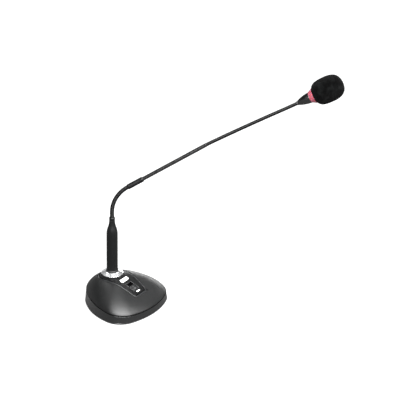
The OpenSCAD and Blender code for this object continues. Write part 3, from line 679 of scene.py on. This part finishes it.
def make_lower_housing():
    """The flared skirt between the seam and the base plate, open at the rear for the output."""
    def ring(off, z_of):
        return polar_ring(base_reach(off), z=z_of)

    foot = ((SKIRT_FLARE - WALL, 0), (SKIRT_FLARE - 0.9, 0), (SKIRT_FLARE - 0.35, 0.12),
            (SKIRT_FLARE - 0.08, 0.4), (SKIRT_FLARE, 0.8))
    rings = [ring(off, lambda ahead, z=PLATE_TOP + rise: np.full_like(ahead, z)) for off, rise in foot]
    rings += [ring(*skirt_face(share)) for share in np.linspace(0.08, 0.96, 18)]
    top = SEAM + SEAM_GAP
    rim = ((0.08, 0.25), (-0.05, 0.06), (-0.3, 0), (SKIRT_IN - WALL, 0))
    rings += [ring(off, lambda ahead, d=drop: rim_z(ahead) - top - d) for off, drop in rim]
    for share in (0.8, 0.5, 0.2):
        off = SKIRT_IN - WALL + (SKIRT_FLARE - SKIRT_IN) * (1 - share)
        rings.append(ring(off, skirt_face(share)[1]))
    skirt = lofted("skirt_shell", rings, closed=True)
    to_rear = (np.array(Matrix.Rotation(-PI / 2, 3, "X")), np.array([0, 0, OUTPUT_H]))
    cut(skirt, lofted("cut_output", lathe([(OUTPUT_BORE_R, 26), (OUTPUT_BORE_R, 60)], 96), at=to_rear))
    add_piece(skirt, "base", "cover", ["lower_housing"], material="housing")


# ------------------------------------------------------------ socket, barrel

BARREL_R, BARREL_TOP, COLLAR_TOP, COLLAR_R, COLLAR_BORE = 9.5, 125.0, 157.0, 4.9, 2.2
SHOULDER_TOP = COLLAR_TOP - 5.5
RING_TOP, FOOT_TOP, SHELL_BORE = 56.7, 59.9, 8.1


def make_trim_ring():
    """The chrome ring round the socket."""
    ring = [(9.8, 52.6), (15.6, 52.6), (16.4, 53.1), (18.1, 53.15, 0.2), (18.4, 53.4, 0.15),
            (18.4, 53.7, 0.2), (18.0, 54.0, 0.4), (12.0, 56.45, 1.2), (11.2, RING_TOP, 0.5),
            (10.1, RING_TOP, 0.25), (9.8, 56.4, 0.1)]
    turned("chrome_ring", "base", "chrome", ["trim_ring"], fillet(ring, 6), 160)


def make_barrel_foot():
    """The black collar under the barrel and the plug's shell below it."""
    foot = [(SHELL_BORE, 39), (9.1, 39, 0.15), (9.3, 39.3, 0.1), (9.3, RING_TOP + 0.1),
            (9.9, RING_TOP + 0.1, 0.1), (10.2, 57.15, 0.15), (10.2, FOOT_TOP - 0.35, 0.15),
            (9.9, FOOT_TOP, 0.1), (SHELL_BORE, FOOT_TOP)]
    turned("barrel_base", "stem", "black_plastic", ["barrel_foot"], fillet(foot, 4), 128)


def make_barrel():
    """The barrel, narrowing in an S-shaped shoulder, and the small collar on its top."""
    rise, inset = SHOULDER_TOP - BARREL_TOP, BARREL_R - COLLAR_R
    bend_r = (rise ** 2 + inset ** 2) / (4 * inset)
    bend = math.degrees(math.asin(rise / 2 / bend_r))
    shoulder = arc((BARREL_R - bend_r, BARREL_TOP), bend_r, 0, bend, 16)
    shoulder += arc((COLLAR_R + bend_r, SHOULDER_TOP), bend_r, 180 + bend, 180, 16)[1:]
    body = [(BARREL_R - 1.5, FOOT_TOP), (BARREL_R - 0.35, FOOT_TOP), (BARREL_R - 0.1, FOOT_TOP + 0.1),
            (BARREL_R, FOOT_TOP + 0.35)]
    body += [(BARREL_R, z) for z in np.linspace(FOOT_TOP + 1, BARREL_TOP - 1, 12)]
    body += shoulder
    body += [(COLLAR_BORE, SHOULDER_TOP), (COLLAR_BORE, SHOULDER_TOP - 4),
             (BARREL_R - 1.5, BARREL_TOP - 4)]
    turned("barrel_tube", "stem", "barrel_metal", ["barrel"], body, 128)
    collar = [(COLLAR_BORE, SHOULDER_TOP), (COLLAR_R - 0.12, SHOULDER_TOP),
              (COLLAR_R - 0.02, SHOULDER_TOP + 0.15, 0.08), (COLLAR_R, COLLAR_TOP - 0.8, 0.3),
              (COLLAR_R - 0.8, COLLAR_TOP, 0.3), (COLLAR_BORE, COLLAR_TOP)]
    turned("barrel_cap", "stem", "barrel_metal", ["barrel_collar"], fillet(collar, 5), 96)


# ---------------------------------------------------------------------- neck
# The neck is drawn in an upright plane. Points are (along its lean, up), rises are degrees above level.

NECK_YAW = math.radians(-55)
LOWER_D, LOWER_STRAIGHT, LOWER_BEND_R, LOWER_BEND = 7.2, 9.5, 54.0, 59.0
TUBE_D, SLEEVE_LEN, SLEEVE_D, TUBE_LEN = 6.5, 30.0, 9.2, 123.5
UPPER_D, UPPER_LEN, UPPER_FIRST, UPPER_EACH, HEAD_LIFT, UPPER_INSET = 6.1, 169.0, 3.3, 0.3, 1.2, 4.0
LOWER_JOINTS, UPPER_JOINTS = 4, 8
LOWER_TURN = LOWER_BEND / LOWER_JOINTS
LOWER_STEP = 2 * LOWER_BEND_R * math.tan(math.radians(LOWER_TURN / 2))
UPPER_STEP = UPPER_LEN / UPPER_JOINTS
TUBE_RISE = 90 - LOWER_BEND
WIRE_R, ROOT_SUNK, ROOT_LAP, HEAD_LAP = 0.8, 1.2, 0.8, 0.6


def toward(rise):
    """Unit vector in the neck's plane."""
    return np.array([math.cos(math.radians(rise)), math.sin(math.radians(rise))])


def lower_rise(i):
    return 90 - i * LOWER_TURN


def upper_rise(i):
    """Rise of the upper neck's link i; the head's end lifts a little."""
    if i == 0:
        return TUBE_RISE
    lift = HEAD_LIFT + UPPER_EACH if i == UPPER_JOINTS else 0
    return TUBE_RISE - UPPER_FIRST - (i - 1) * UPPER_EACH + lift


lower_joints = [np.array([0, COLLAR_TOP + LOWER_STRAIGHT + LOWER_STEP / 2])]
for i in range(1, LOWER_JOINTS):
    lower_joints.append(lower_joints[-1] + LOWER_STEP * toward(lower_rise(i)))
SLEEVE_START = lower_joints[-1] + LOWER_STEP / 2 * toward(TUBE_RISE)
TUBE_END = SLEEVE_START + (SLEEVE_LEN + TUBE_LEN) * toward(TUBE_RISE)
upper_joints = [TUBE_END + UPPER_INSET * toward(TUBE_RISE)]
for i in range(1, UPPER_JOINTS):
    upper_joints.append(upper_joints[-1] + UPPER_STEP * toward(upper_rise(i)))
HEAD_RISE = upper_rise(UPPER_JOINTS)
HEAD_START = upper_joints[-1] + (UPPER_STEP - UPPER_INSET) * toward(HEAD_RISE)
LEAN = np.array([math.cos(NECK_YAW), math.sin(NECK_YAW), 0])
ACROSS = np.array([-math.sin(NECK_YAW), math.cos(NECK_YAW), 0])
UP = np.array([0, 0, 1.0])


def in_space(p):
    return p[0] * LEAN + p[1] * UP


def along_neck(p, rise):
    """Frame whose z runs along the neck at a plane point."""
    t = toward(rise)
    z = t[0] * LEAN + t[1] * UP
    x = t[1] * LEAN - t[0] * UP
    return np.column_stack([x, ACROSS, z]), in_space(p)


TURN_PITCH, TURN_DEPTH, TURN_AROUND = 1.32, 0.36, 40
TURN_PHASES = (0.0, 0.07, 0.2, 0.38, 0.62, 0.8, 0.93)  # rings of one turn, denser near its groove


def wound(name, radius, path):
    """A wound tube along path(t) -> (plane point, rise), t from 0 to 1, with whole turns."""
    fine = [path(t)[0] for t in np.linspace(0, 1, 60)]
    length = sum(np.linalg.norm(b - a) for a, b in zip(fine, fine[1:]))
    turns = max(1, round(length / TURN_PITCH))
    turn = np.linspace(0, 2 * PI, TURN_AROUND, endpoint=False)
    circle = np.column_stack([np.cos(turn), np.sin(turn)])
    phases = [k + phase for k in range(turns) for phase in TURN_PHASES] + [turns]
    rings = []
    for phase in phases:
        x = phase % 1.0
        groove = 1 - math.sqrt(max(1 - (2 * x - 1) ** 2, 0))
        rotation, origin = along_neck(*path(phase / turns))
        ring = circle * (radius - TURN_DEPTH * groove)
        rings.append(origin + ring[:, :1] * rotation[:, 0] + ring[:, 1:] * rotation[:, 1])
    return lofted(name, rings, smooth=75)


def bent_path(joint, before, after, rise_in, rise_out):
    """A smooth bend round a joint, tangent to the link before it and the link after it."""
    a, b = joint - before * toward(rise_in), joint + after * toward(rise_out)

    def at(t):
        p = (1 - t) ** 2 * a + 2 * t * (1 - t) * joint + t * t * b
        d = (1 - t) * (joint - a) + t * (b - joint)
        return p, math.degrees(math.atan2(d[1], d[0]))
    return at


def bending_piece(name, radius, joint, before, after, rises, nodes):
    """A wound length over one joint, on no body, with its transform baked into the mesh."""
    obj = wound(name, radius, bent_path(joint, before, after, *rises))
    add_piece(obj, None, "neck_metal", nodes)
    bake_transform(obj)


def make_neck():
    """Both flexible lengths: a straight root, then one wound piece over each joint."""
    start, end = np.array([0, COLLAR_TOP - ROOT_SUNK]), np.array([0, COLLAR_TOP + LOWER_STRAIGHT])
    root = wound("lower_wind_0", LOWER_D / 2, lambda t: (start + (end - start) * t, 90))
    add_piece(root, "neck_root", "neck_metal", ["lower_neck_root"])
    for i, joint in enumerate(lower_joints):
        node = f"lower_link_{i + 1}" if i < LOWER_JOINTS - 1 else "lower_neck_end"
        bending_piece(f"lower_wind_{i + 1}", LOWER_D / 2, joint, LOWER_STEP / 2, LOWER_STEP / 2,
                      (lower_rise(i), lower_rise(i + 1)), [node])
    for i, joint in enumerate(upper_joints):
        node = f"upper_link_{i + 1}" if i < UPPER_JOINTS - 1 else "upper_neck_end"
        nodes = ["upper_neck_root", node] if i == 0 else [node]
        before = UPPER_INSET + ROOT_LAP if i == 0 else UPPER_STEP / 2
        after = UPPER_STEP - UPPER_INSET + HEAD_LAP if i == UPPER_JOINTS - 1 else UPPER_STEP / 2
        bending_piece(f"upper_wind_{i + 1}", UPPER_D / 2, joint, before, after,
                      (upper_rise(i), upper_rise(i + 1)), nodes)


def make_sleeve():
    """The moulded sleeve at the tube's foot, covered in small staggered pips."""
    r, pips, rows, fineness = SLEEVE_D / 2, 20, 20, 7
    pip_from, pip_to, pip_height = 2.0, SLEEVE_LEN - 3.2, 0.25
    samples = rows * fineness
    turn = np.linspace(0, 2 * PI, pips * fineness, endpoint=False)
    ends_low = [(WIRE_R, 0), (LOWER_D / 2 - 0.05, 0), (LOWER_D / 2 + 0.25, 0.12), (r - 0.35, 1.05),
                (r - 0.25, 1.35)]
    ends_high = [(r - 0.25, SLEEVE_LEN - 2.8), (r - 0.08, SLEEVE_LEN - 2.6), (r - 0.02, SLEEVE_LEN - 2.3),
                 (r - 0.1, SLEEVE_LEN - 1.9), (r - 0.75, SLEEVE_LEN - 0.35),
                 (r - 0.95, SLEEVE_LEN - 0.05), (r - 1.1, SLEEVE_LEN), (WIRE_R, SLEEVE_LEN)]
    rings = [round_ring(radius, z, turn) for radius, z in ends_low]
    for k in range(samples + 1):
        row = k / fineness
        z = pip_from + (pip_to - pip_from) * k / samples
        stagger = np.cos(turn * pips) * math.cos(PI * row)
        across = math.sin(PI * row) ** 2
        pip = ((stagger + 1) / 2) ** 1.6 * (0.35 + 0.65 * (1 - across))
        rings.append(round_ring(r - pip_height + pip_height * pip, z, turn))
    rings += [round_ring(radius, z, turn) for radius, z in ends_high]
    at = along_neck(SLEEVE_START, TUBE_RISE)
    sleeve = lofted("sleeve_skin", rings, closed=True, smooth=60, at=at)
    add_piece(sleeve, "arm", "neck_metal", ["neck_sleeve"], material="sleeve")


def make_tube():
    """The rigid tube between the sleeve and the upper flexible length."""
    r, bore = TUBE_D / 2, WIRE_R + 0.6
    tube = [(bore, 0), (r, 0)] + [(r, z) for z in np.linspace(4, TUBE_LEN - 2, 20)]
    tube += fillet([(r, TUBE_LEN - 2), (r, TUBE_LEN, 0.5), (bore, TUBE_LEN)], 6, closed=False)[1:]
    at = along_neck(SLEEVE_START + SLEEVE_LEN * toward(TUBE_RISE), TUBE_RISE)
    turned("rigid_tube", "arm", "neck_metal", ["neck_tube"], tube, 64, at=at, material="tube")


# ---------------------------------------------------------------------- head

CONE_LEN, CONE_D, CONE_SMALL, CONE_FOOT, CONE_SAG = 24.3, 18.8, 3.8, 2.0, 62.0
CONE_BORE, CONE_HOLLOW = 6.6, 8.0
RING_LEN, RING_D, RING_BORE, HOLDER_R = 7.8, 26.6, 8.3, 8.2
GRILLE_START, GRILLE_STRAIGHT, GRILLE_ROUND, GRILLE_DENTS = 16.1, 12.0, 5.0, 36
FOAM_LEN, FOAM_D, FOAM_WIDE, FOAM_BACK, REAR_ROUND, NOSE_ROUND = 53.2, 44.6, 27.0, 1.6, 3.2, 2.5
FOAM_BORE_R, FOAM_BORE_END, FOAM_AROUND = HOLDER_R + 0.3, 28.0, 300
PIT_SIZE, SMALL_PIT_SIZE = 1.7, 1.05
HEAD = along_neck(HEAD_START, HEAD_RISE)


def on_head(z):
    return shifted(HEAD, z=z)


def make_cone():
    """The hollow cone with slightly bowed sides."""
    small, wide = np.array([CONE_SMALL, CONE_FOOT]), np.array([CONE_D / 2, CONE_LEN])
    chord = np.linalg.norm(wide - small)
    out = np.array([CONE_LEN - CONE_FOOT, CONE_SMALL - CONE_D / 2]) / chord
    centre = (small + wide) / 2 - out * math.sqrt(CONE_SAG ** 2 - chord ** 2 / 4)
    a0 = math.degrees(math.atan2(*(small - centre)[::-1]))
    a1 = math.degrees(math.atan2(*(wide - centre)[::-1]))
    cone = fillet([(WIRE_R, 0.1), (CONE_SMALL, 0.1, 0.25), (CONE_SMALL, 1.3, 0.15),
                   (CONE_SMALL - 0.4, 1.55, 0.1), (CONE_SMALL - 0.4, 1.85)], 4, closed=False)
    side = arc(centre, CONE_SAG, a0, a1, 40)
    cone += side[:-1]
    cone += fillet([side[-2], (CONE_D / 2, CONE_LEN, 0.25), (CONE_BORE, CONE_LEN)], 4, closed=False)[1:]
    cone += [(CONE_BORE, CONE_LEN - CONE_HOLLOW), (WIRE_R, CONE_LEN - CONE_HOLLOW - 6)]
    turned("cone_shell", "head", "cone_metal", ["head_cone"], cone, 128, at=HEAD)


def make_ring_light():
    """The red ring, widening from the cone to the foam."""
    ring = [(RING_BORE, 0.02), (CONE_D / 2 - 0.05, 0.02, 0.2), (RING_D / 2, RING_LEN - 0.3, 0.35),
            (RING_D / 2 - 0.3, RING_LEN, 0.2), (RING_BORE, RING_LEN)]
    turned("ring_light", "head", "red_ring", ["light_ring"], fillet(ring, 6), 128, at=on_head(CONE_LEN))


def make_grille():
    """The capsule's domed guard, with the dimples of its mesh."""
    r, base, bend = HOLDER_R, GRILLE_STRAIGHT, GRILLE_ROUND
    line = [(r, z) for z in np.linspace(0, base, 31)]
    line += arc((r - bend, base), bend, 0, 90, 14)[1:]
    line += [(x, base + bend) for x in np.linspace(r - bend, 0.1, 8)[1:]]
    turn = np.linspace(0, 2 * PI, 4 * GRILLE_DENTS, endpoint=False)
    rings = [round_ring(r - 1, 0, turn)]
    for k, (radius, z) in enumerate(line):
        wave = np.clip(np.cos(turn * GRILLE_DENTS + PI * (k // 3 % 2)), 0, 1)
        dent = 0.16 * wave * (k % 3 == 1) * (radius > 2.5)
        rings.append(round_ring(radius - dent, z, turn))
    thin = bend - 1
    inner = [(0.1, base + thin), (r - bend, base + thin)] + arc((r - bend, base), thin, 90, 0, 8)
    rings += [round_ring(radius, z, turn) for radius, z in inner]
    at = on_head(CONE_LEN + GRILLE_START)
    grille = lofted("grille_skin", rings, closed=True, smooth=60, at=at)
    add_piece(grille, "head", "capsule_steel", ["capsule_grille"])


def cell_distance(points, size, seed):
    """Distance, in cells, from each point to the nearest cell centre, which a hash of the cell places."""
    grid = points / size
    base = np.floor(grid).astype(np.int64)
    best = np.full(len(points), 9.0)
    for offset in np.ndindex(3, 3, 3):
        cell = base + np.array(offset) - 1
        h = cell[:, 0] * 73856093 ^ cell[:, 1] * 19349663 ^ cell[:, 2] * 83492791 ^ seed * 2654435761
        spot = []
        for k in range(3):
            h = (h * 1103515245 + 12345 + k * 7919) & 0x7FFFFFFF
            spot.append((h >> 8) % 10007 / 10007)
        centre = cell + 0.15 + 0.7 * np.column_stack(spot)
        best = np.minimum(best, np.linalg.norm(grid - centre, axis=1))
    return best


def foam_radius(z):
    """Radius of the foam's smooth egg at a height above its rear."""
    power = REAR_ROUND if z < FOAM_WIDE else NOSE_ROUND
    reach = FOAM_WIDE + FOAM_BACK if z < FOAM_WIDE else FOAM_LEN - FOAM_WIDE
    return FOAM_D / 2 * max(0, 1 - (abs(z - FOAM_WIDE) / reach) ** power) ** (1 / power)


def make_foam():
    """The egg-shaped foam windscreen, pitted all over, with the hollow that holds the capsule."""
    fine = np.concatenate([np.linspace(0, FOAM_WIDE, 600) ** 1.3 / FOAM_WIDE ** 0.3,
                           FOAM_LEN - (FOAM_LEN - FOAM_WIDE) * np.linspace(1, 0, 900)[1:] ** 2.2])
    line = np.array([(foam_radius(z), z) for z in fine])
    run = np.concatenate([[0], np.cumsum(np.linalg.norm(np.diff(line, axis=0), axis=1))])
    spots = np.linspace(0, run[-1] - 0.2, 190)
    outer = np.column_stack([np.interp(spots, run, line[:, 0]), np.interp(spots, run, line[:, 1])])
    rear = np.column_stack([np.linspace(FOAM_BORE_R, outer[0, 0], 12)[:-1], np.zeros(11)])
    skin = np.vstack([rear, outer])
    turn = np.linspace(0, 2 * PI, FOAM_AROUND, endpoint=False)
    rings = np.array([round_ring(r, z, turn) for r, z in skin])
    slope = np.gradient(skin, axis=0)
    slope /= np.linalg.norm(slope, axis=1)[:, None]
    normal = np.stack([slope[:, 1:] * np.cos(turn), slope[:, 1:] * np.sin(turn),
                       np.repeat(-slope[:, :1], FOAM_AROUND, 1)], axis=2)
    flat = rings.reshape(-1, 3)
    pits = np.clip(1 - cell_distance(flat, PIT_SIZE, 3) / 0.62, 0, 1) ** 1.5
    small = np.clip(1 - cell_distance(flat, SMALL_PIT_SIZE, 8) / 0.6, 0, 1)
    waves = np.sin(flat[:, 0] * 0.31 + 1) * np.sin(flat[:, 1] * 0.27 + 2) * np.sin(flat[:, 2] * 0.29)
    depth = (0.05 + 0.5 * pits + 0.22 * small + 0.1 * (waves + 1)).reshape(rings.shape[:2])
    fade = np.clip(skin[:, 0] / 4, 0, 1)[:, None]
    rings -= normal * (depth * fade)[:, :, None]
    inner = [(3.5, FOAM_BORE_END), (5, FOAM_BORE_END)]
    inner += [(FOAM_BORE_R, z) for z in (FOAM_BORE_END - 5, 12, 1)]
    hollow = [round_ring(r, z, turn) for r, z in inner]
    at = on_head(CONE_LEN + RING_LEN + 0.1)
    foam = lofted("foam_windscreen", list(rings[::-1]) + hollow[::-1], smooth=180, at=at)
    add_piece(foam, "windscreen", "foam", ["windscreen"])


# ------------------------------------------------------------- build it all

make_cover()
make_panel()
make_switch_frame()
make_slider()
make_lamp()
make_nameplate()
make_lower_housing()
make_trim_ring()
make_barrel_foot()
make_barrel()
make_neck()
make_sleeve()
make_tube()
make_cone()
make_ring_light()
make_grille()
make_foam()

slot_of = {row["node"]: row["material_slot"] for row in frame["record"]["subparts"]}
for node, obj in frame["nodes"].items():
    obj.data.materials.clear()
    obj.data.materials.append(MATERIALS[slot_of[node]])

# -------------------------------------------------- floor, light and camera

FLOOR_HALF = 6000
floor_points = [(x * FLOOR_HALF, y * FLOOR_HALF, 0) for x, y in ((-1, -1), (1, -1), (1, 1), (-1, 1))]
floor = finish_mesh("studio_floor", floor_points, [(0, 1, 2, 3)])
floor.data.materials.append(floor_material())

# A pale studio: dimmest at DIM_HEIGHT up the sky, brighter towards the horizon and overhead
DIM_HEIGHT, DIM_LEVEL, SKY_CURVE = 0.5, 0.07, 3.6
world = bpy.data.worlds.new("Studio")
bpy.context.scene.world = world
sky = Nodes(world)
height = sky.add("SeparateXYZ", {0: sky.place.node.outputs["Generated"]}).outputs["Z"]
from_dim = sky.math("SUBTRACT", height, DIM_HEIGHT)
strength = sky.math("MULTIPLY_ADD", sky.math("MULTIPLY", from_dim, from_dim), SKY_CURVE, DIM_LEVEL)
background = sky.tree.nodes["Background"]
sky.put(strength, background.inputs["Strength"])
sky.put((1, 1, 1), background.inputs["Color"])


def area_light(name, place, target, size, power):
    """A rectangular light that the camera doesn't see; places and sizes in metres, power in watts."""
    data = bpy.data.lights.new(name, "AREA")
    data.shape = "RECTANGLE"
    data.size, data.size_y = size
    data.energy = power
    lamp = bpy.data.objects.new(name, data)
    lamp.location = place
    lamp.rotation_mode = "QUATERNION"
    lamp.rotation_quaternion = (Vector(target) - Vector(place)).to_track_quat("-Z", "Y")
    lamp.visible_camera = False
    bpy.context.scene.collection.objects.link(lamp)


area_light("Key", (-0.66, -1.05, 1.62), (0.0, -0.05, 0.05), (3.2, 1.6), 300)
area_light("Back", (1.01, 0.71, 1.58), (0.05, -0.05, 0.2), (1.4, 0.6), 11)
area_light("Rim", (1.75, 0.6, 0.38), (0.05, -0.05, 0.1), (1.4, 0.4), 15)

VIEW_AZIMUTH, VIEW_RISE = math.radians(-55), math.radians(26.5)
VIEW_WIDTH, VIEW_DISTANCE, SENSOR = 0.668, 22.0, 36.0
VIEW_RIGHT, VIEW_UP, VIEW_DEPTH = 0.147, 0.169, 0.085  # the picture's centre from the barrel's foot
right = Vector((math.cos(VIEW_AZIMUTH), math.sin(VIEW_AZIMUTH), 0))
level_back = Vector((math.sin(VIEW_AZIMUTH), -math.cos(VIEW_AZIMUTH), 0))
back = level_back * math.cos(VIEW_RISE) + Vector((0, 0, math.sin(VIEW_RISE)))
up = back.cross(right)
centre = right * VIEW_RIGHT + up * VIEW_UP + back * VIEW_DEPTH
camera_data = bpy.data.cameras.new("Camera")
camera_data.type = "PERSP"
camera_data.sensor_width = SENSOR
camera_data.lens = SENSOR * VIEW_DISTANCE / VIEW_WIDTH
camera_data.clip_start, camera_data.clip_end = 0.5, 60
camera = bpy.data.objects.new("Camera", camera_data)
camera.location = centre + back * VIEW_DISTANCE
camera.rotation_mode = "QUATERNION"
camera.rotation_quaternion = (-back).to_track_quat("-Z", "Y")
bpy.context.scene.collection.objects.link(camera)
bpy.context.scene.camera = camera
bpy.context.scene.view_settings.view_transform = "Standard"
